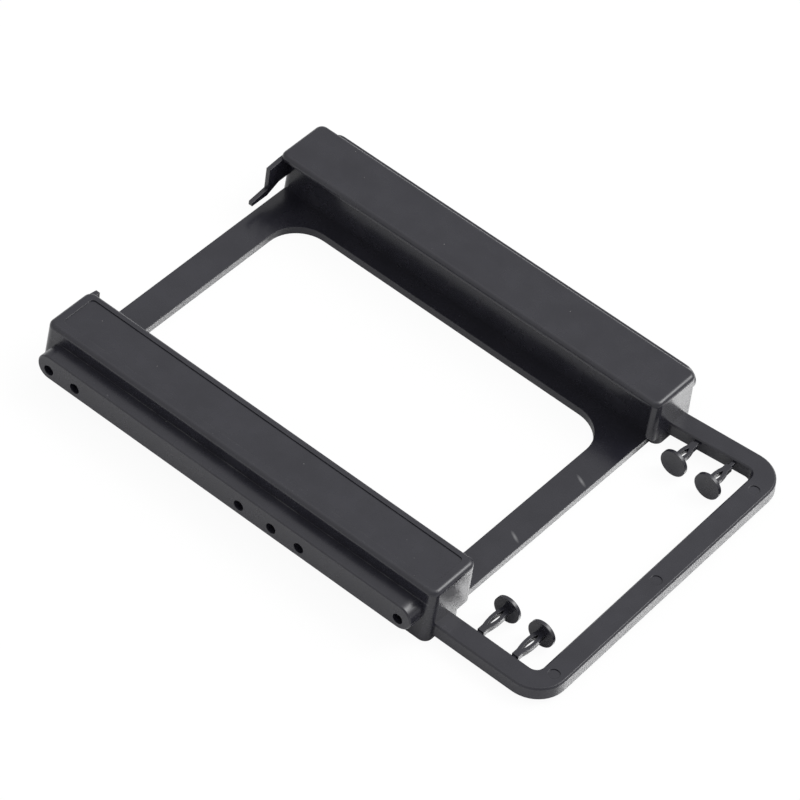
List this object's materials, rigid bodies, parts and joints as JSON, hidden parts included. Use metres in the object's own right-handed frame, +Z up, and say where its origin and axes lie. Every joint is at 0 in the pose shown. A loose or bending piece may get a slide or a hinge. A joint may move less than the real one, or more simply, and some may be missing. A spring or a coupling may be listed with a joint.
{
  "type": "drive bay adapter bracket",
  "caption": "Black plastic frame with two lipped rails on a windowed plate, which seats a small drive in a larger bay, with its moulding runner and split push pins still attached.",
  "frame": {"origin": "centre of the whole moulding's outline, runner included, on the surface it lies on", "axes": "+X along the rails towards the moulding runner, +Y across the slot towards the plain rail, +Z up out of the slot"},
  "size_m": [0.1435, 0.1016, 0.0152],
  "materials": {
    "plastic": "fine-grained, half gloss"
  },
  "bodies": {
    "root": {"adapter_bracket": "plastic"}
  },
  "joints": []
}
